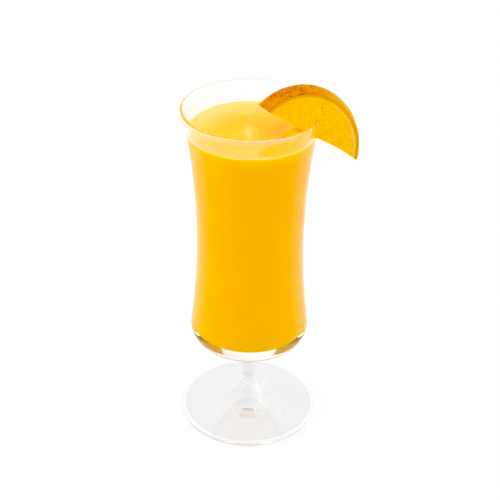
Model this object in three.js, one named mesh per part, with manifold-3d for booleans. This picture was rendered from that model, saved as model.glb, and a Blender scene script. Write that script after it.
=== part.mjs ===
// A stemmed glass of orange juice with a slice of orange on its rim.
// Millimetres, +Z up. The origin is the centre of the foot's flat underside, and the glass's axis
// is the Z axis. The slice sits on the +X side of the rim.
import * as THREE from 'three';
import { mergeVertices } from 'three/addons/utils/BufferGeometryUtils.js';
import Module from 'manifold-3d';

const wasm = await Module();
wasm.setup();

// Glass: one piece, from the foot's underside to the rounded lip.
const HEIGHT = 193.5;
const RIM_RADIUS = 37.0;
const LIP_RADIUS = 0.9;
const WAIST_RADIUS = 29.05;
const WAIST_HEIGHT = 114.5;
const BELLY_RADIUS = 32.7;
const BELLY_HEIGHT = 62.5;
const FLARE_POWER = 2.15;
const BELLY_POWER = 1.9;
const HEEL_WIDTH = 10.0;
const BOWL_UNDERSIDE = 50.5;
const WALL_AT_RIM = 1.4;
const WALL_AT_BELLY = 1.3;
const CAVITY_FLOOR = 60.4;
const CAVITY_CORNER_WIDTH = 3.0;
const CAVITY_CORNER_HEIGHT = 3.0;
const STEM_RADIUS = 3.2;
const STEM_WAIST = 24.0;
const FOOT_RADIUS = 38.7;
const FOOT_EDGE_RADIUS = 1.4;

// Juice: it fills the cavity up to this height.
const JUICE_LEVEL = 180.0;

// Orange slice: cut from a round orange between two parallel planes, then across by a chord.
const ORANGE_RADIUS = 32.7;
const SLICE_THICKNESS = 9.5;
const BACK_FACE_OFFSET = 3.9;
const CHORD_OFFSET = 8.3;
const SLICE_CENTRE = new THREE.Vector3(27.9, -4.7, 171.9);
const SLICE_TURN = THREE.MathUtils.degToRad(17.6);
const SLICE_LEAN = THREE.MathUtils.degToRad(11.7);
const SLICE_TILT = THREE.MathUtils.degToRad(34.1);

const GAP = 0.3;
const SIDES = 48;

const wallRadiusAtRim = RIM_RADIUS - 0.5 * LIP_RADIUS;
const bellySlope = ((BELLY_RADIUS - WAIST_RADIUS) * BELLY_POWER) / (WAIST_HEIGHT - BELLY_HEIGHT);
const heelStart = Math.atan(bellySlope);

// Radius of the bowl's outer wall: it flares by a power of the distance from the waist, above and below.
function outerRadius(z) {
  if (z >= WAIST_HEIGHT) {
    const rise = (z - WAIST_HEIGHT) / (HEIGHT - WAIST_HEIGHT);
    return WAIST_RADIUS + (wallRadiusAtRim - WAIST_RADIUS) * rise ** FLARE_POWER;
  }
  const drop = (WAIST_HEIGHT - z) / (WAIST_HEIGHT - BELLY_HEIGHT);
  return WAIST_RADIUS + (BELLY_RADIUS - WAIST_RADIUS) * drop ** BELLY_POWER;
}

// The wall thickens evenly from the rim down to the belly.
function innerRadius(z) {
  const rise = (z - BELLY_HEIGHT) / (HEIGHT - BELLY_HEIGHT);
  return outerRadius(z) - THREE.MathUtils.lerp(WALL_AT_BELLY, WALL_AT_RIM, rise);
}

// Points of an elliptical arc from one angle to another, both ends included.
function arc(centreRadius, centreHeight, width, height, from, to, steps) {
  return Array.from({ length: steps + 1 }, (_, i) => {
    const angle = from + ((to - from) * i) / steps;
    return new THREE.Vector2(centreRadius + width * Math.cos(angle), centreHeight + height * Math.sin(angle));
  });
}

// Points of a wall whose radius is a function of height, both ends included.
function wall(radius, from, to, steps) {
  return Array.from({ length: steps + 1 }, (_, i) => {
    const z = from + ((to - from) * i) / steps;
    return new THREE.Vector2(radius(z), z);
  });
}

function curve(steps, ...corners) {
  const [start, leave, arrive, end] = corners.map(([r, z]) => new THREE.Vector2(r, z));
  return new THREE.CubicBezierCurve(start, leave, arrive, end).getPoints(steps);
}

// A solid turned round the Z axis from a profile that starts and ends on the axis, or closes on itself.
function turned(profile) {
  return new THREE.LatheGeometry(profile, SIDES).rotateX(Math.PI / 2);
}

function solidOf(geometry) {
  const bare = geometry.clone();
  bare.deleteAttribute('normal');
  bare.deleteAttribute('uv');
  const merged = mergeVertices(bare, 1e-4);
  const corners = merged.index.array;
  const faces = [];
  for (let i = 0; i < corners.length; i += 3) {
    const [a, b, c] = corners.slice(i, i + 3);
    if (a !== b && b !== c && c !== a) faces.push(a, b, c);
  }
  return new wasm.Manifold(new wasm.Mesh({
    numProp: 3,
    vertProperties: new Float32Array(merged.attributes.position.array),
    triVerts: new Uint32Array(faces),
  }));
}

function geometryOf(solid) {
  const mesh = solid.getMesh();
  const geometry = new THREE.BufferGeometry();
  geometry.setAttribute('position', new THREE.BufferAttribute(mesh.vertProperties, 3));
  geometry.setIndex(new THREE.BufferAttribute(mesh.triVerts, 1));
  geometry.computeVertexNormals();
  return geometry;
}

// The cavity's wall and floor, as a profile from the floor's centre up to the given height.
function cavity(clearance, top, steps) {
  const cornerTop = CAVITY_FLOOR + CAVITY_CORNER_HEIGHT;
  const cornerCentre = innerRadius(cornerTop) - CAVITY_CORNER_WIDTH;
  return [
    new THREE.Vector2(0, CAVITY_FLOOR + clearance),
    ...arc(cornerCentre, cornerTop, CAVITY_CORNER_WIDTH - clearance, CAVITY_CORNER_HEIGHT - clearance,
      -Math.PI / 2, 0, 5),
    ...wall((z) => innerRadius(z) - clearance, cornerTop, top, steps).slice(1),
  ];
}

// The clear glass, one piece: foot, stem, heavy base and flared bowl, open at the top.
function glassSolid() {
  const lipHeight = HEIGHT - LIP_RADIUS;
  const lipCentre = RIM_RADIUS - LIP_RADIUS;
  const footEdgeCentre = FOOT_RADIUS - FOOT_EDGE_RADIUS;
  const heelHeight = (BELLY_HEIGHT - BOWL_UNDERSIDE) / (1 + Math.sin(heelStart));
  const heelCentreRadius = BELLY_RADIUS - HEEL_WIDTH * Math.cos(heelStart);
  const heelCentreHeight = BELLY_HEIGHT - heelHeight * Math.sin(heelStart);
  const lipStart = lipHeight - LIP_RADIUS;
  return solidOf(turned([
    new THREE.Vector2(0, 0),
    ...arc(footEdgeCentre, FOOT_EDGE_RADIUS, FOOT_EDGE_RADIUS, FOOT_EDGE_RADIUS, -Math.PI / 2, Math.PI / 2, 6),
    ...curve(7, [footEdgeCentre, 2 * FOOT_EDGE_RADIUS], [12, 6.5], [STEM_RADIUS, 12],
      [STEM_RADIUS, STEM_WAIST]).slice(1),
    ...curve(7, [STEM_RADIUS, STEM_WAIST], [STEM_RADIUS, 40], [19, 41.8],
      [heelCentreRadius, BOWL_UNDERSIDE]).slice(1),
    ...arc(heelCentreRadius, heelCentreHeight, HEEL_WIDTH, heelHeight, -Math.PI / 2, heelStart, 6).slice(1),
    ...wall(outerRadius, BELLY_HEIGHT, lipStart, 12).slice(1),
    ...arc(lipCentre, lipHeight, LIP_RADIUS, LIP_RADIUS, 0, Math.PI, 6),
    ...cavity(0, lipStart, 12).reverse(),
  ]));
}

// The slice before it is slit: a section of the round orange, seen face on, then set at its place.
// The margin makes a slightly larger one, which clears a bed for the slice in the juice.
function wholeSlice(margin) {
  const rind = Array.from({ length: 5 }, (_, i) => {
    const depth = THREE.MathUtils.lerp(-margin, SLICE_THICKNESS + margin, i / 4);
    const fromMiddle = SLICE_THICKNESS + BACK_FACE_OFFSET - depth;
    return new THREE.Vector2(Math.sqrt(ORANGE_RADIUS ** 2 - fromMiddle ** 2) + margin, depth);
  });
  const section = [new THREE.Vector2(0, -margin), ...rind, new THREE.Vector2(0, SLICE_THICKNESS + margin)];
  const round = new THREE.LatheGeometry(section, SIDES);
  const below = new THREE.BoxGeometry(4 * ORANGE_RADIUS, 4 * ORANGE_RADIUS, 2 * ORANGE_RADIUS);
  below.translate(0, 0, CHORD_OFFSET - margin - ORANGE_RADIUS);
  const half = geometryOf(solidOf(round).subtract(solidOf(below)));
  const turn = new THREE.Quaternion().setFromEuler(
    new THREE.Euler(-SLICE_LEAN, SLICE_TILT, SLICE_TURN, 'ZXY'));
  half.applyMatrix4(new THREE.Matrix4().compose(SLICE_CENTRE, turn, new THREE.Vector3(1, 1, 1)));
  return solidOf(half);
}

// The slit that lets the slice sit astride the rim: the shape of the wall and lip, a little enlarged.
function slit() {
  const foot = SLICE_CENTRE.z - ORANGE_RADIUS;
  const top = HEIGHT + GAP;
  const lipFoot = HEIGHT - 2 * LIP_RADIUS - GAP;
  const profile = [
    ...wall((z) => outerRadius(z) + GAP, foot, lipFoot, 6),
    new THREE.Vector2(RIM_RADIUS + GAP, lipFoot),
    new THREE.Vector2(RIM_RADIUS + GAP, top),
    new THREE.Vector2(RIM_RADIUS - 2 * LIP_RADIUS - GAP, top),
    ...wall((z) => innerRadius(z) - GAP, lipFoot, foot, 6),
  ];
  return solidOf(turned([...profile, profile[0].clone()]));
}

const glass = new THREE.Mesh(
  geometryOf(glassSolid()),
  new THREE.MeshStandardMaterial({
    name: 'clear_glass', color: 0xf2f5f4, roughness: 0.03, metalness: 0, transparent: true, opacity: 0.35,
  }),
);
glass.name = 'glass';

const juiceProfile = [...cavity(GAP, JUICE_LEVEL, 8), new THREE.Vector2(0, JUICE_LEVEL)];
const juice = new THREE.Mesh(
  geometryOf(solidOf(turned(juiceProfile)).subtract(wholeSlice(GAP))),
  new THREE.MeshStandardMaterial({ name: 'orange_juice', color: 0xf9b500, roughness: 0.15, metalness: 0 }),
);
juice.name = 'juice';

const slice = new THREE.Mesh(
  geometryOf(wholeSlice(0).subtract(slit())),
  new THREE.MeshStandardMaterial({ name: 'orange_slice', color: 0xf2a60a, roughness: 0.4, metalness: 0 }),
);
slice.name = 'orange_slice';

const drink = new THREE.Group();
drink.name = 'glass_of_orange_juice';
drink.add(glass, juice, slice);

export default drink;
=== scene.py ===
import bmesh
import bpy
import numpy as np
from mathutils import Matrix


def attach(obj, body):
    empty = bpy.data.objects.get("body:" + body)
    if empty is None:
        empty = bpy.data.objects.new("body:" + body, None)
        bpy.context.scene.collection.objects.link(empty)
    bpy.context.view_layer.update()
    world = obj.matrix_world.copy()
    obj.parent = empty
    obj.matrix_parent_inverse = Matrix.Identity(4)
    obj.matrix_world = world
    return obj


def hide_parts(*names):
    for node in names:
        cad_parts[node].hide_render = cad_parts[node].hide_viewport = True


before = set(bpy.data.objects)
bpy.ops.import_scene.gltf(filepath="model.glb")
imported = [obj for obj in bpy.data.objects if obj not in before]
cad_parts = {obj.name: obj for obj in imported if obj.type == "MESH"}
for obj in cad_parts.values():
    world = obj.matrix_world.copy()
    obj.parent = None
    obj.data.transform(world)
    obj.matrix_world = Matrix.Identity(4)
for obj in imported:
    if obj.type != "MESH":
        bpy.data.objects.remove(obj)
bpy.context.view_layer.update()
scene = bpy.context.scene
scene.view_settings.view_transform = "Standard"
scene.cycles.max_bounces = 40
scene.cycles.glossy_bounces = 32
scene.cycles.transmission_bounces = 40
scene.cycles.diffuse_bounces = 16
scene.cycles.blur_glossy = 0.0

# Camera: it looks down on the glass from the front through a long lens, 0.78 m from the foot. It is held
# very nearly level, and its angles come from the rim's and the foot's ellipses.
CAMERA_BACK, CAMERA_HEIGHT = 0.6098, 0.4933
CAMERA_PITCH, CAMERA_ROLL = np.radians([32.33, 0.73])
LENS_MM, FILM_WIDTH_MM = 95.1, 36.0
camera_data = bpy.data.cameras.new("camera")
camera_data.sensor_width = FILM_WIDTH_MM
camera_data.lens = LENS_MM
camera = bpy.data.objects.new("camera", camera_data)
camera.matrix_world = (
    Matrix.Translation((0.0, -CAMERA_BACK, CAMERA_HEIGHT))
    @ Matrix.Rotation(np.pi / 2 - CAMERA_PITCH, 4, "X")
    @ Matrix.Rotation(CAMERA_ROLL, 4, "Z")
)
scene.collection.objects.link(camera)
scene.camera = camera

# Glass: a tall stemmed glass, one piece of clear soda-lime glass. The bowl flares from a narrow waist to a
# fire-polished lip, its base is a thick lens of glass, and a drawn stem runs down into a round foot.
HEIGHT = 0.1935
RIM_RADIUS = 0.0370
LIP_RADIUS = 0.0009
WAIST_RADIUS, WAIST_HEIGHT = 0.02905, 0.1145
BELLY_RADIUS, BELLY_HEIGHT = 0.0327, 0.0625
FLARE_POWER, BELLY_POWER = 2.15, 1.9
HEEL_WIDTH = 0.0100
BOWL_UNDERSIDE = 0.0505
WALL_AT_RIM, WALL_AT_BELLY = 0.0014, 0.0013
CAVITY_FLOOR = 0.0604
CAVITY_CORNER = np.array([0.0030, 0.0030])
STEM_RADIUS, STEM_WAIST = 0.0032, 0.0240
STEM_LEAVES_FOOT, STEM_MEETS_BOWL = 0.0120, 0.0400
FOOT_SLOPE, UNDERSIDE_SLOPE = (0.0120, 0.0065), (0.0190, 0.0418)
FOOT_RADIUS, FOOT_EDGE_RADIUS = 0.0387, 0.0014
FOOT_HOLLOW = 0.0006
SIDES = 192


def outer_radius(z):
    """The bowl's outer radius: the waist's radius plus a flare that grows as a power of the height above
    the waist, and below the waist as another power of the depth."""
    rise = np.clip((z - WAIST_HEIGHT) / (HEIGHT - WAIST_HEIGHT), 0, None)
    drop = np.clip((WAIST_HEIGHT - z) / (WAIST_HEIGHT - BELLY_HEIGHT), 0, None)
    flare = (RIM_RADIUS - LIP_RADIUS / 2 - WAIST_RADIUS) * rise**FLARE_POWER
    return WAIST_RADIUS + flare + (BELLY_RADIUS - WAIST_RADIUS) * drop**BELLY_POWER


def inner_radius(z):
    """The outer radius less a wall whose thickness changes evenly from the belly up to the rim."""
    rise = (z - BELLY_HEIGHT) / (HEIGHT - BELLY_HEIGHT)
    return outer_radius(z) - (WALL_AT_BELLY + (WALL_AT_RIM - WALL_AT_BELLY) * rise)


def arc(centre, radii, start, end, steps):
    """Centre plus the two radii times the cosine and sine of an even run of angles."""
    angle = np.linspace(start, end, steps)
    return np.asarray(centre) + np.asarray(radii) * np.stack([np.cos(angle), np.sin(angle)], axis=1)


def bezier(corners, steps):
    """A cubic Bezier curve: the four corners weighted by (1-t)^3, 3t(1-t)^2, 3t^2(1-t) and t^3."""
    t = np.linspace(0, 1, steps)[:, None]
    a, b, c, d = np.asarray(corners)
    return (1 - t) ** 3 * a + 3 * t * (1 - t) ** 2 * b + 3 * t**2 * (1 - t) * c + t**3 * d


def wall(radius, start, end, steps):
    """The radius at each of an even run of heights."""
    z = np.linspace(start, end, steps)
    return np.stack([radius(z), z], axis=1)


def lattice(rows, columns, ring=False):
    """The four corners of each cell of a grid of points that closes on itself from column to column, and in
    a ring from its last row to its first too."""
    here = np.arange(rows * columns).reshape(rows, columns)
    here = np.concatenate([here, here[:1]]) if ring else here
    beside = np.roll(here, -1, axis=1)
    return np.stack([here[:-1], beside[:-1], beside[1:], here[1:]], axis=2).reshape(-1, 4)


def turned(profile):
    """A profile turned round the Z axis: a point (r, z) at angle a lies at (r cos a, r sin a, z). It starts
    and ends on the axis, where fans of triangles close it."""
    rings = profile[1:-1]
    angle = np.arange(SIDES) * 2 * np.pi / SIDES
    points = np.stack([
        rings[:, None, 0] * np.cos(angle),
        rings[:, None, 0] * np.sin(angle),
        rings[:, None, 1] * np.ones(SIDES),
    ], axis=-1).reshape(-1, 3)
    poles = np.array([[0, 0, profile[0, 1]], [0, 0, profile[-1, 1]]])
    first, last = len(points), len(points) + 1
    low = np.arange(SIDES)
    high = low + (len(rings) - 1) * SIDES
    fans = np.concatenate([
        np.stack([np.full(SIDES, first), np.roll(low, -1), low], axis=1),
        np.stack([np.full(SIDES, last), high, np.roll(high, -1)], axis=1),
    ])
    return np.concatenate([points, poles]), [lattice(len(rings), SIDES), fans]


def mesh_piece(name, points, face_groups):
    """A smooth-shaded object at the origin with these points and faces."""
    mesh = bpy.data.meshes.new(name)
    mesh.from_pydata(points.tolist(), [], [face for group in face_groups for face in group.tolist()])
    mesh.shade_smooth()
    piece = bpy.data.objects.new(name, mesh)
    scene.collection.objects.link(piece)
    return piece


heel_start = np.arctan((BELLY_RADIUS - WAIST_RADIUS) * BELLY_POWER / (WAIST_HEIGHT - BELLY_HEIGHT))
heel_height = (BELLY_HEIGHT - BOWL_UNDERSIDE) / (1 + np.sin(heel_start))
heel_centre = (
    BELLY_RADIUS - HEEL_WIDTH * np.cos(heel_start),
    BELLY_HEIGHT - heel_height * np.sin(heel_start),
)
foot_edge = (FOOT_RADIUS - FOOT_EDGE_RADIUS, FOOT_EDGE_RADIUS)
foot_top = (foot_edge[0], 2 * FOOT_EDGE_RADIUS)
stem_waist = (STEM_RADIUS, STEM_WAIST)
underside_edge = (heel_centre[0], BOWL_UNDERSIDE)
lip_centre = (RIM_RADIUS - LIP_RADIUS, HEIGHT - LIP_RADIUS)
lip_start = HEIGHT - 2 * LIP_RADIUS
corner_top = CAVITY_FLOOR + CAVITY_CORNER[1]
corner_centre = (inner_radius(corner_top) - CAVITY_CORNER[0], corner_top)
glass_profile = np.concatenate([
    arc((0, 0), (foot_edge[0], FOOT_HOLLOW), np.pi / 2, 0, 24)[:-1],
    arc(foot_edge, (FOOT_EDGE_RADIUS, FOOT_EDGE_RADIUS), -np.pi / 2, np.pi / 2, 16),
    bezier([foot_top, FOOT_SLOPE, (STEM_RADIUS, STEM_LEAVES_FOOT), stem_waist], 36)[1:],
    bezier([stem_waist, (STEM_RADIUS, STEM_MEETS_BOWL), UNDERSIDE_SLOPE, underside_edge], 28)[1:],
    arc(heel_centre, (HEEL_WIDTH, heel_height), -np.pi / 2, heel_start, 20)[1:],
    wall(outer_radius, BELLY_HEIGHT, lip_start, 60)[1:],
    arc(lip_centre, (LIP_RADIUS, LIP_RADIUS), 0, np.pi, 14),
    wall(inner_radius, lip_start, corner_top, 60)[1:-1],
    arc(corner_centre, CAVITY_CORNER, 0, -np.pi / 2, 16),
    [[0, CAVITY_FLOOR]],
])
glass = mesh_piece("stemmed_glass", *turned(glass_profile))


def adder(tree):
    """A function that adds nodes to this node tree."""
    def add(kind, *inputs, **settings):
        """Adds a node and returns its first output. Inputs are values or other nodes' outputs, in order, with
        None to leave one alone."""
        new = tree.nodes.new(kind)
        for key, value in settings.items():
            setattr(new, key, value)
        for socket, value in zip([s for s in new.inputs if s.enabled], inputs):
            if isinstance(value, bpy.types.NodeSocket):
                tree.links.new(value, socket)
            elif value is not None:
                socket.default_value = value
        return next(s for s in new.outputs if s.enabled)

    return add


def finish(name):
    """A new material, its shader's inputs, a function that adds a node, a function that links an output to
    one of the shader's inputs, and the place of each point in the object's own coordinates."""
    made = bpy.data.materials.new(name)
    made.use_nodes = True
    tree = made.node_tree
    shader = tree.nodes["Principled BSDF"].inputs

    def join(output, shader_input):
        """Links an output to one of the shader's inputs."""
        tree.links.new(output, shader[shader_input])

    return made, shader, adder(tree), join, tree.nodes.new("ShaderNodeTexCoord").outputs["Object"]


def mixed(add, mask, under, over):
    """One colour laid over another as far as a mask says."""
    colours = [c if isinstance(c, bpy.types.NodeSocket) else (*c, 1) for c in (under, over)]
    return add("ShaderNodeMix", mask, *colours, data_type="RGBA")


def product(add, one, other):
    """One value times another."""
    return add("ShaderNodeMath", one, other, operation="MULTIPLY")


CLEAR, LIP_SHADE = (0.99, 0.995, 0.993), (0.86, 0.88, 0.93)
# The foot's top is painted a grey shade, standing in for the shadow and darker ground seen through it, with
# painted dark lines round the pad's edge and along the foot's outer edge.
FOOT_SHADE, FOOT_DARK_LINE = (0.825, 0.816, 0.820), (0.70, 0.69, 0.69)
FOOT_PAD_RADIUS, FOOT_PAD_BLUR = 0.0363, 0.0003
FOOT_LINE_WIDTH, FOOT_OUTLINE_WIDTH = 0.0008, 0.0006
FOOT_TOP_FROM, FOOT_TOP_FULL = 0.0008, 0.0014
STEM_FROM, STEM_FULL = 0.0030, 0.0035
LIP_FROM, LIP_FULL = HEIGHT - 0.0012, HEIGHT - 0.0004

clear, shader, add, join, place = finish("clear_glass")
shader["Transmission Weight"].default_value = 1.0
shader["IOR"].default_value = 1.5
from_foot = add("ShaderNodeVectorMath", place, operation="LENGTH").node.outputs["Value"]
_, _, height = add("ShaderNodeSeparateXYZ", place).node.outputs
# Painted shade: the foot's top inside its clear outer band turns grey, with a dark ring at the band's inner
# edge and a dark outline at the foot's outer edge.
in_pad = add("ShaderNodeMapRange", from_foot, FOOT_PAD_RADIUS, FOOT_PAD_RADIUS + FOOT_PAD_BLUR, 1.0, 0.0)
shaded_pad = product(add, in_pad, add("ShaderNodeMapRange", height, FOOT_TOP_FROM, FOOT_TOP_FULL))
dark_ring = add("ShaderNodeMapRange", from_foot, FOOT_PAD_RADIUS - FOOT_LINE_WIDTH, FOOT_PAD_RADIUS)
outermost = add("ShaderNodeMapRange", from_foot, FOOT_RADIUS - FOOT_OUTLINE_WIDTH, FOOT_RADIUS)
dark_outline = product(add, outermost, add("ShaderNodeMapRange", height, STEM_FROM, STEM_FULL, 1.0, 0.0))
# The top of the lip is painted a bluish grey shade, which darkens the rim's edge.
bowl_colour = mixed(add, add("ShaderNodeMapRange", height, LIP_FROM, LIP_FULL), CLEAR, LIP_SHADE)
shaded_foot_colour = mixed(add, shaded_pad, bowl_colour, mixed(add, dark_ring, FOOT_SHADE, FOOT_DARK_LINE))
join(mixed(add, dark_outline, shaded_foot_colour, FOOT_DARK_LINE), "Base Color")
waves = add("ShaderNodeTexNoise", place, 45.0, 1.0)
smears = add("ShaderNodeTexNoise", place, 120.0, 3.0)
join(add("ShaderNodeMapRange", smears, 0.40, 0.75, 0.0, 0.02), "Roughness")
join(add("ShaderNodeBump", 0.05, 0.0005, None, waves), "Normal")
glass.data.materials.append(clear)
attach(glass, "root")
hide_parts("glass")

# Juice: cloudy orange juice, poured to a finger's width below the rim. It reaches just into the glass's
# wall, so that no air shows between them, and its surface creeps up the wall in a wet edge.
JUICE_LEVEL = 0.1800
REACH = 0.00015
CREEP_HEIGHT, CREEP_WIDTH = 0.0013, 0.0022
RING_COUNT, RING_CROWDING = 80, 1.8

creep_top = JUICE_LEVEL + CREEP_HEIGHT
edge_radius = inner_radius(creep_top) + REACH
inward = np.linspace(0, 1, RING_COUNT) ** RING_CROWDING * edge_radius
juice_surface = np.stack([
    edge_radius - inward,
    JUICE_LEVEL + CREEP_HEIGHT * np.exp(-inward / CREEP_WIDTH),
], axis=1)
juice_side = np.concatenate([
    [[0, CAVITY_FLOOR - REACH]],
    arc(corner_centre, CAVITY_CORNER + REACH, -np.pi / 2, 0, 20),
    wall(lambda z: inner_radius(z) + REACH, corner_top, creep_top, 70)[1:],
])
juice_points, juice_faces = turned(np.concatenate([juice_side, juice_surface[1:]]))
juice = mesh_piece("poured_juice", juice_points, juice_faces)
side_cells = (len(juice_side) - 2) * SIDES
cell = np.arange(len(juice.data.polygons))
on_surface = (cell >= side_cells) & (cell < len(juice_faces[0])) | (cell >= len(juice_faces[0]) + SIDES)
juice.data.polygons.foreach_set("material_index", on_surface.astype(np.int32))


def juice_finish(name, deep, pale):
    """Cloudy juice: clouds of fine pulp vary its colour, and light scatters a few millimetres into it. The
    clouded colour comes last, for other colours to be laid over."""
    made, shader, add, join, place = finish(name)
    clouded = mixed(add, add("ShaderNodeTexNoise", place, 55.0, 4.0, 0.6), deep, pale)
    shader["Subsurface Weight"].default_value = 0.7
    shader["Subsurface Radius"].default_value = (1.0, 0.5, 0.05)
    shader["Subsurface Scale"].default_value = 0.003
    return made, shader, add, join, place, clouded


def distance_from_axis(add, place):
    """How far each point is from the glass's axis: the length of (x, y, 0)."""
    level = add("ShaderNodeVectorMath", place, (1, 1, 0), operation="MULTIPLY")
    return add("ShaderNodeVectorMath", level, operation="LENGTH").node.outputs["Value"]


def ramp(add, value, low, high, at_low, at_high):
    """One value below low and another above high, with a smooth step between them."""
    return add("ShaderNodeMapRange", value, low, high, at_low, at_high, interpolation_type="SMOOTHSTEP")


DEEP_IN_GLASS, PALE_IN_GLASS = (0.970, 0.632, 0.001), (0.975, 0.692, 0.002)
# The juice's bottom is painted a darker shade that falls to near black towards its edge: painted shade that
# lays dark marks in the glass's base.
BASE_SHADE, BASE_EDGE_SHADE = (0.82, 0.50, 0.05), (0.10, 0.05, 0.02)
BASE_SHADE_DEPTH = 0.0006
EDGE_FROM, EDGE_FULL = 0.021, 0.027

in_glass, shader, add, join, place, clouded = juice_finish("juice_in_glass", DEEP_IN_GLASS, PALE_IN_GLASS)
shader["Specular IOR Level"].default_value = 0.0
shader["Roughness"].default_value = 1.0
_, _, height = add("ShaderNodeSeparateXYZ", place).node.outputs
# Painted shade: the bottom 0.6 mm of the juice darkens, to near black towards the edge.
shaded_bottom = add("ShaderNodeMapRange", height, CAVITY_FLOOR, CAVITY_FLOOR + BASE_SHADE_DEPTH, 1.0, 0.0)
to_edge = add("ShaderNodeMapRange", distance_from_axis(add, place), EDGE_FROM, EDGE_FULL)
join(mixed(add, shaded_bottom, clouded, mixed(add, to_edge, BASE_SHADE, BASE_EDGE_SHADE)), "Base Color")

DEEP_SURFACE, PALE_SURFACE = (0.92, 0.47, 0.016), (0.94, 0.525, 0.020)
# The surface is painted paler near the wall at the back and left: a painted sheen that stands in for
# reflected and back light.
PAINTED_SHEEN, SHEEN_SLANT, SHEEN_POWER = (0.96, 0.68, 0.27), -0.6, 2.2
SLANT_FROM, SLANT_FULL = -0.004, 0.030
SHEEN_FROM, SHEEN_FULL = 0.006, 0.034
# Where the surface creeps up the wall it is painted pale, a painted highlight along the wet edge.
WET_EDGE_FROM, WET_EDGE_FULL, WET_EDGE_HIGHLIGHT = JUICE_LEVEL + 0.0004, JUICE_LEVEL + 0.0010, 0.9
# By the slice's corner the surface is painted a paler yellow patch: painted light that lifts the shade under
# the slice.
PAINTED_LIGHT, LIGHT_PATCH_PLACE = (0.99, 0.80, 0.030), (0.0240, 0.0005, JUICE_LEVEL)
LIGHT_PATCH_RADIUS, LIGHT_PATCH_REACH = 0.002, 0.010

open_top, shader, add, join, place, clouded = juice_finish("juice_surface", DEEP_SURFACE, PALE_SURFACE)
shader["IOR"].default_value = 1.44
shader["Roughness"].default_value = 0.05
to_the_right, behind, height = add("ShaderNodeSeparateXYZ", place).node.outputs
# Painted sheen: paler towards the wall, more so at the back and left.
slanted = add("ShaderNodeMath", to_the_right, SHEEN_SLANT, behind, operation="MULTIPLY_ADD")
back_left = add("ShaderNodeMapRange", slanted, SLANT_FROM, SLANT_FULL)
near_wall = add("ShaderNodeMapRange", distance_from_axis(add, place), SHEEN_FROM, SHEEN_FULL)
sheen_mask = product(add, add("ShaderNodeMath", near_wall, SHEEN_POWER, operation="POWER"), back_left)
# Painted highlight along the wet edge, laid in with the painted sheen.
meniscus_highlight = add("ShaderNodeMapRange", height, WET_EDGE_FROM, WET_EDGE_FULL, 0.0, WET_EDGE_HIGHLIGHT)
sheen_mask = add("ShaderNodeMath", sheen_mask, meniscus_highlight, operation="MAXIMUM")
# Painted light: a paler patch on the surface under the slice's corner.
from_light_patch = add("ShaderNodeVectorMath", place, LIGHT_PATCH_PLACE, operation="DISTANCE").node.outputs["Value"]
light_patch = ramp(add, from_light_patch, LIGHT_PATCH_RADIUS, LIGHT_PATCH_REACH, 1.0, 0.0)
join(mixed(add, light_patch, mixed(add, sheen_mask, clouded, PAINTED_SHEEN), PAINTED_LIGHT), "Base Color")
ripples = add("ShaderNodeTexNoise", place, 160.0, 3.0)
join(add("ShaderNodeBump", 0.10, 0.0004, None, ripples), "Normal")
juice.data.materials.append(in_glass)
juice.data.materials.append(open_top)
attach(juice, "root")
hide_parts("juice")

# Orange slice: a thick slice cut near the middle of a small orange, then cut across above its core. A slit
# runs up from its straight side, and by that it sits astride the rim, turned a little and leaning outwards.
ORANGE_RADIUS = 0.0327
SLICE_THICKNESS = 0.0095
BACK_FACE_OFFSET = 0.0039
CHORD_OFFSET = 0.0083
SLICE_CENTRE = (0.0279, -0.0047, 0.1719)
SLICE_TURN, SLICE_LEAN, SLICE_TILT = np.radians([17.6, 11.7, 34.1])
SAG_DEPTH, SAG_START, SAG_LENGTH = 0.0006, 0.002, 0.024
TORN_DEPTH, TORN_PLACE, TORN_WIDTH = 0.0014, 0.0005, 0.0014
ZEST_WIDTH, PITH_WIDTH = 0.0019, 0.0016
PITH_BULGE, PITH_BULGE_WIDTH, PITH_RIPPLE = 0.0009, 0.0018, 0.0002
SEGMENT_ANGLE, FIRST_MEMBRANE = np.radians([35.5, -60.0])
MEMBRANE_WIDTH, MEMBRANE_WANDER = 0.00032, 0.025
MEMBRANE_HEIGHT, PITH_HEIGHT = 0.00010, 0.00008
SAC_LENGTH, SAC_WIDTH, SAC_DEPTH = 0.0052, 0.0019, 0.00016
SAC_FAN_RADIUS, SAC_SLANT = 0.024, 0.4
PORE_SPACING, PORE_RADIUS, PORE_DEPTH = 0.0013, 0.00038, 0.00024
RIND_WAVE = 0.00016
dice = np.random.default_rng(7)

slice_place = np.array(
    Matrix.Translation(SLICE_CENTRE)
    @ Matrix.Rotation(SLICE_TURN, 4, "Z")
    @ Matrix.Rotation(-SLICE_LEAN, 4, "X")
    @ Matrix.Rotation(SLICE_TILT, 4, "Y")
)
sphere_middle = SLICE_THICKNESS + BACK_FACE_OFFSET


def rind_radius(depth):
    """The circle that a cut at this depth behind the front face makes in the round orange."""
    return np.sqrt(ORANGE_RADIUS**2 - (sphere_middle - depth) ** 2)


def slice_point(across, up, depth):
    """Across runs from tip to tip, -1 to 1, up from the straight side to the rind, 0 to 1. The angle at the
    core is across times the tips' angle, and the distance from the core runs from the chord to the rind. The
    chord is cut a little wavy, and the flesh is torn out in a small lip where the slit opens."""
    angle = across * np.arccos(CHORD_OFFSET / rind_radius(depth))
    along = CHORD_OFFSET * np.tan(angle)
    sag = SAG_DEPTH * np.sin(np.pi * (along - SAG_START) / SAG_LENGTH) * (along > SAG_START)
    torn = TORN_DEPTH * np.exp(-(((along - TORN_PLACE) / TORN_WIDTH) ** 2))
    near = (CHORD_OFFSET + sag - torn) / np.cos(angle)
    distance = near + (rind_radius(depth) - near) * up
    return np.stack([distance * np.sin(angle), depth + 0 * angle, distance * np.cos(angle)], axis=-1)


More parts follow.
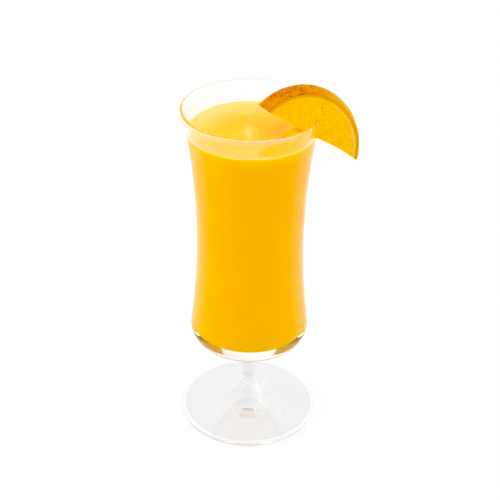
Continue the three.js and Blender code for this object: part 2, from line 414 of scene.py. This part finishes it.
def nearest_two(points, seeds):
    """Each point's distances to its nearest two seeds, and the nearest one's number."""
    squares = (points**2).sum(1)[:, None] + (seeds**2).sum(1) - 2 * points @ seeds.T
    pair = np.argpartition(squares, 1, axis=1)[:, :2]
    first, second = np.sqrt(np.clip(np.take_along_axis(squares, pair, axis=1), 0, None)).T
    swapped = first > second
    return np.minimum(first, second), np.maximum(first, second), np.where(swapped, pair[:, 1], pair[:, 0])


def jittered(low, high, spacing):
    """Points of an even grid, each moved at random by up to 0.36 of the spacing."""
    axes = [np.arange(a, b + spacing, spacing) for a, b in zip(low, high)]
    grid = np.stack(np.meshgrid(*axes, indexing="ij"), axis=-1).reshape(-1, len(axes))
    return grid + dice.uniform(-0.36, 0.36, grid.shape) * spacing


def step(low, high, value):
    """0 below low, 1 above high, and 3x^2 - 2x^3 between them."""
    x = np.clip((value - low) / (high - low), 0, 1)
    return x * x * (3 - 2 * x)


sac_seeds = jittered((-17.0, 1.0), (17.0, 8.0), 1.0)
shade_of_sac = dice.uniform(0, 1, len(sac_seeds))


def flesh_map(local):
    """What the cut shows at each point: how far it is zest, pith and membrane, the juice sac's own shade
    and how far the point is from the sac's wall. Sacs are cells long along the radius and narrow across.
    Membranes stand at even angles and wander a little, and the pith bulges inwards at each of them."""
    x, y, z = local.T
    core = np.hypot(x, z)
    angle = np.arctan2(x, z) + MEMBRANE_WANDER * np.sin(core * 420)
    turn = (angle - FIRST_MEMBRANE) / SEGMENT_ANGLE
    beside = np.abs(turn - np.round(turn)) * SEGMENT_ANGLE * core
    from_rind = rind_radius(np.clip(y, 0, SLICE_THICKNESS)) - core
    bulge = PITH_BULGE * np.exp(-((beside / PITH_BULGE_WIDTH) ** 2))
    pith_edge = ZEST_WIDTH + PITH_WIDTH + bulge + PITH_RIPPLE * np.sin(angle * 31)
    zest = 1 - step(ZEST_WIDTH - 0.0003, ZEST_WIDTH + 0.0003, from_rind)
    pith = (1 - step(pith_edge - 0.0003, pith_edge + 0.0004, from_rind)) * (1 - zest)
    membrane = np.exp(-((beside / MEMBRANE_WIDTH) ** 2)) * (1 - zest)
    along_sac = core / SAC_LENGTH + SAC_SLANT * y / SAC_LENGTH
    fan = np.stack([angle * SAC_FAN_RADIUS / SAC_WIDTH, along_sac], axis=1)
    first, second, number = nearest_two(fan, sac_seeds)
    return zest, pith, membrane, shade_of_sac[number], step(0.0, 0.45, second - first)


TIP_STEPS, FACE_STEPS, RIND_STEPS, CHORD_STEPS = 400, 66, 40, 24
front_up = np.linspace(0, 1, FACE_STEPS)
rind_depth = np.linspace(0, SLICE_THICKNESS, RIND_STEPS)[1:-1]
chord_depth = np.linspace(SLICE_THICKNESS, 0, CHORD_STEPS)[1:-1]
sides_of_section = [
    ("front", front_up, 0 * front_up),
    ("rind", 0 * rind_depth + 1, rind_depth),
    ("back", front_up[::-1], 0 * front_up + SLICE_THICKNESS),
    ("chord", 0 * chord_depth, chord_depth),
]
side_of = np.concatenate([np.full(len(up), side) for side, up, _ in sides_of_section])
section_up = np.concatenate([up for _, up, _ in sides_of_section])
section_depth = np.concatenate([depth for _, _, depth in sides_of_section])
across = np.linspace(-1, 1, TIP_STEPS)[:, None]
local = slice_point(across, section_up[None], section_depth[None])

flesh_maps = flesh_map(local.reshape(-1, 3))
zest, pith, membrane, _, sac_middle = (values.reshape(local.shape[:2]) for values in flesh_maps)
relief = SAC_DEPTH * (sac_middle - 1) * (1 - zest) * (1 - pith)
relief += MEMBRANE_HEIGHT * membrane + PITH_HEIGHT * pith
facing = {"front": (0, -1, 0), "back": (0, 1, 0), "chord": (0, 0, -1), "rind": (0, 0, 0)}
out_of_cut = np.array([facing[side] for side in side_of])
cut_fade = np.where(side_of == "chord", 0.6, step(0, 0.05, np.minimum(section_up, 1 - section_up)))
pore_seeds = jittered((-0.045, 0.0), (0.045, SLICE_THICKNESS), PORE_SPACING)
unrolled = np.stack([np.arctan2(local[..., 0], local[..., 2]) * ORANGE_RADIUS, local[..., 1]], axis=-1)
nearest, _, pore = nearest_two(unrolled.reshape(-1, 2), pore_seeds)
pore_depth = dice.uniform(0.4, 1.0, len(pore_seeds))[pore] * PORE_DEPTH
rind_relief = (-pore_depth * np.exp(-((nearest / PORE_RADIUS) ** 2))).reshape(relief.shape)
rind_relief += RIND_WAVE * np.sin(unrolled[..., 0] * 310) * np.cos(unrolled[..., 1] * 500)
from_cut = np.minimum(section_depth, SLICE_THICKNESS - section_depth)
rind_fade = (side_of == "rind") * step(0, 0.0006, from_cut) * step(0, 0.02, 1 - np.abs(across))
out_of_orange = (local - (0, sphere_middle, 0)) / ORANGE_RADIUS
local = local + out_of_cut * (relief * cut_fade)[..., None]
local = local + out_of_orange * (rind_relief * rind_fade)[..., None]

slice_points = local.reshape(-1, 3) @ slice_place[:3, :3].T + slice_place[:3, 3]
orange_slice = mesh_piece("cut_orange", slice_points, [lattice(*local.shape[:2])[:, ::-1]])
tips = bmesh.new()
tips.from_mesh(orange_slice.data)
bmesh.ops.contextual_create(tips, geom=[e for e in tips.edges if e.is_boundary])
bmesh.ops.remove_doubles(tips, verts=tips.verts, dist=2e-6)
bmesh.ops.dissolve_degenerate(tips, edges=tips.edges, dist=1e-7)
tips.to_mesh(orange_slice.data)
tips.free()

SLIT_FOOT, SLIT_SIDES = 0.150, 256
SLIT_BITE = 0.00010
slit_lip_radius = LIP_RADIUS - SLIT_BITE
slit_profile = np.concatenate([
    wall(lambda z: outer_radius(z) - SLIT_BITE, SLIT_FOOT, lip_start, 40),
    arc(lip_centre, (slit_lip_radius, slit_lip_radius), 0, np.pi, 14),
    wall(lambda z: inner_radius(z) + SLIT_BITE, lip_start, SLIT_FOOT, 40),
])
slit_angle = np.arange(SLIT_SIDES)[:, None] * 2 * np.pi / SLIT_SIDES
slit_points = np.stack([
    slit_profile[:, 0] * np.cos(slit_angle),
    slit_profile[:, 0] * np.sin(slit_angle),
    slit_profile[:, 1] + 0 * slit_angle,
], axis=-1)
slit = mesh_piece("slit", slit_points.reshape(-1, 3), [lattice(*slit_points.shape[:2], ring=True)[:, ::-1]])
cut = orange_slice.modifiers.new("slit", "BOOLEAN")
cut.operation = "DIFFERENCE"
cut.solver = "MANIFOLD"
cut.object = slit
bpy.context.view_layer.update()
slit_open = orange_slice.evaluated_get(bpy.context.evaluated_depsgraph_get())
slit_slice = bpy.data.meshes.new_from_object(slit_open)
orange_slice.modifiers.clear()
orange_slice.data = slit_slice
bpy.data.objects.remove(slit)
slit_slice.set_sharp_from_angle(angle=np.radians(50))

# Flesh inside the glass's wall gets no light and would show as a dark outline, so it glows faintly.
GLOW_IN_GLASS, GLASS_MARGIN = 0.45, 0.0001
placed = np.zeros(len(slit_slice.vertices) * 3)
slit_slice.vertices.foreach_get("co", placed)
local = (placed.reshape(-1, 3) - slice_place[:3, 3]) @ slice_place[:3, :3]
zest, pith, membrane, sac, _ = flesh_map(local)
from_middle = np.linalg.norm(local - (0, sphere_middle, 0), axis=1)
skin = step(ORANGE_RADIUS - 0.0005, ORANGE_RADIUS - 0.0003, from_middle)
height = placed[2::3]
from_axis = np.hypot(placed[0::3], placed[1::3])
in_wall = (
    (from_axis > inner_radius(height) - GLASS_MARGIN)
    & (from_axis < outer_radius(height) + GLASS_MARGIN)
    & (height < HEIGHT + GLASS_MARGIN)
)
glow = GLOW_IN_GLASS * in_wall
for name, values in {
    "skin": skin, "zest": zest, "pith": pith, "membrane": membrane, "sac": sac, "glow": glow,
}.items():
    slit_slice.attributes.new(name, "FLOAT", "POINT").data.foreach_set("value", values.astype(np.float32))

FLESH, PALE_FLESH, MEMBRANE = (0.88, 0.51, 0.001), (0.92, 0.60, 0.002), (0.92, 0.64, 0.020)
PITH, ZEST, SKIN = (0.92, 0.53, 0.10), (0.72, 0.35, 0.006), (0.62, 0.24, 0.001)
DEEP_SKIN, PALE_SKIN = (0.36, 0.08, 0.0004), (0.74, 0.39, 0.010)
PALE_FROM, PALE_FULL = 0.030, 0.050
MEMBRANE_SHARE = 0.25

fruit, shader, add, join, place = finish("orange_slice")


def carried(name):
    """A value that the slice carries at each of its points."""
    return add("ShaderNodeAttribute", attribute_name=name).node.outputs["Fac"]


pulp = add("ShaderNodeTexNoise", place, 350.0, 4.0, 0.6)
blotches = add("ShaderNodeMapRange", add("ShaderNodeTexNoise", place, 220.0, 3.0), 0.40, 0.60)
speckle = add("ShaderNodeMapRange", add("ShaderNodeTexNoise", place, 700.0, 2.0), 0.42, 0.60)
to_right = add("ShaderNodeMapRange", add("ShaderNodeSeparateXYZ", place), PALE_FROM, PALE_FULL)
flesh = mixed(add, product(add, carried("sac"), pulp), FLESH, PALE_FLESH)
flesh = mixed(add, product(add, carried("membrane"), MEMBRANE_SHARE), flesh, MEMBRANE)
flesh = mixed(add, product(add, carried("pith"), to_right), flesh, PITH)
cut_face = mixed(add, carried("zest"), flesh, ZEST)
blotched = mixed(add, blotches, SKIN, DEEP_SKIN)
peel = mixed(add, to_right, mixed(add, speckle, blotched, SKIN), PALE_SKIN)
join(mixed(add, carried("skin"), cut_face, peel), "Base Color")
join(cut_face, "Emission Color")
join(carried("glow"), "Emission Strength")
join(add("ShaderNodeMapRange", pulp, 0.3, 0.7, 0.40, 0.60), "Roughness")
join(add("ShaderNodeBump", 0.25, 0.0003, None, pulp), "Normal")
shader["Specular IOR Level"].default_value = 0.3
shader["IOR"].default_value = 1.4
shader["Subsurface Weight"].default_value = 0.35
shader["Subsurface Radius"].default_value = (1.0, 0.45, 0.06)
shader["Subsurface Scale"].default_value = 0.002
orange_slice.data.materials.clear()
orange_slice.data.materials.append(fruit)
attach(orange_slice, "root")
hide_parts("orange_slice")

# Studio: a wide sheet of white acrylic on a light table, which glows and so shows almost no shadow, under a
# sky of soft white light: strongest at the sides and weak in front. One small lamp behind lays a soft spot
# of light on the juice.
FLOOR_SIZE, FLOOR_GLOW = 8.0, 0.82
FLOOR_GREY, FLOOR_GRAIN = (0.14, 0.14, 0.14), (0.16, 0.16, 0.16)
floor = mesh_piece("floor", np.array([[-1, -1, 0], [1, -1, 0], [1, 1, 0], [-1, 1, 0]]) * FLOOR_SIZE / 2,
                   [np.array([[0, 1, 2, 3]])])
card, shader, add, join, place = finish("floor_card")
grain = add("ShaderNodeTexNoise", place, 300.0, 3.0)
join(mixed(add, grain, FLOOR_GREY, FLOOR_GRAIN), "Base Color")
shader["Roughness"].default_value = 0.9
shader["Specular IOR Level"].default_value = 0.0
shader["Emission Color"].default_value = (1, 1, 1, 1)
shader["Emission Strength"].default_value = FLOOR_GLOW
floor.data.materials.append(card)

SKY_FRONT, SKY_SIDE, SKY_BACK = 0.75, 1.64, 1.0
SKY_LEFT, SKY_RIGHT = 1.32, 1.0
LAMP_TOWARDS, LAMP_RADIUS, LAMP_STRENGTH = (-0.0015, 0.8884, 0.4590), 0.0035, 8.0
studio = bpy.data.worlds.new("studio")
studio.use_nodes = True
scene.world = studio
add = adder(studio.node_tree)
direction = studio.node_tree.nodes.new("ShaderNodeTexCoord").outputs["Generated"]
sideways, backwards, _ = add("ShaderNodeSeparateXYZ", direction).node.outputs
front_to_side = ramp(add, backwards, -1.0, 0.0, SKY_FRONT, SKY_SIDE)
side_to_back = ramp(add, backwards, 0.0, 0.7, 0.0, SKY_BACK - SKY_SIDE)
even = add("ShaderNodeMath", front_to_side, side_to_back, operation="ADD")
lit = product(add, even, ramp(add, sideways, -1.0, 0.2, SKY_LEFT, SKY_RIGHT))
from_lamp = add("ShaderNodeVectorMath", direction, LAMP_TOWARDS, operation="DISTANCE").node.outputs["Value"]
lamp = ramp(add, from_lamp, 0.5 * LAMP_RADIUS, LAMP_RADIUS, LAMP_STRENGTH, 0.0)
strength = add("ShaderNodeMath", lit, lamp, operation="ADD")
background = studio.node_tree.nodes["Background"]
background.inputs["Color"].default_value = (1, 1, 1, 1)
studio.node_tree.links.new(strength, background.inputs["Strength"])

# Grade: the picture's colours are made a little fuller, as the photo's are. It is one step on the finished
# picture and leaves the white ground as it is.
MIDDLE_HUE, SATURATION = 0.5, 1.08
scene.use_nodes = True
picture = scene.node_tree
add = adder(picture)
layers = next(n for n in picture.nodes if n.bl_idname == "CompositorNodeRLayers")
shown = next(n for n in picture.nodes if n.bl_idname == "CompositorNodeComposite")
graded = add("CompositorNodeHueSat", layers.outputs["Image"], MIDDLE_HUE, SATURATION)
picture.links.new(graded, shown.inputs["Image"])
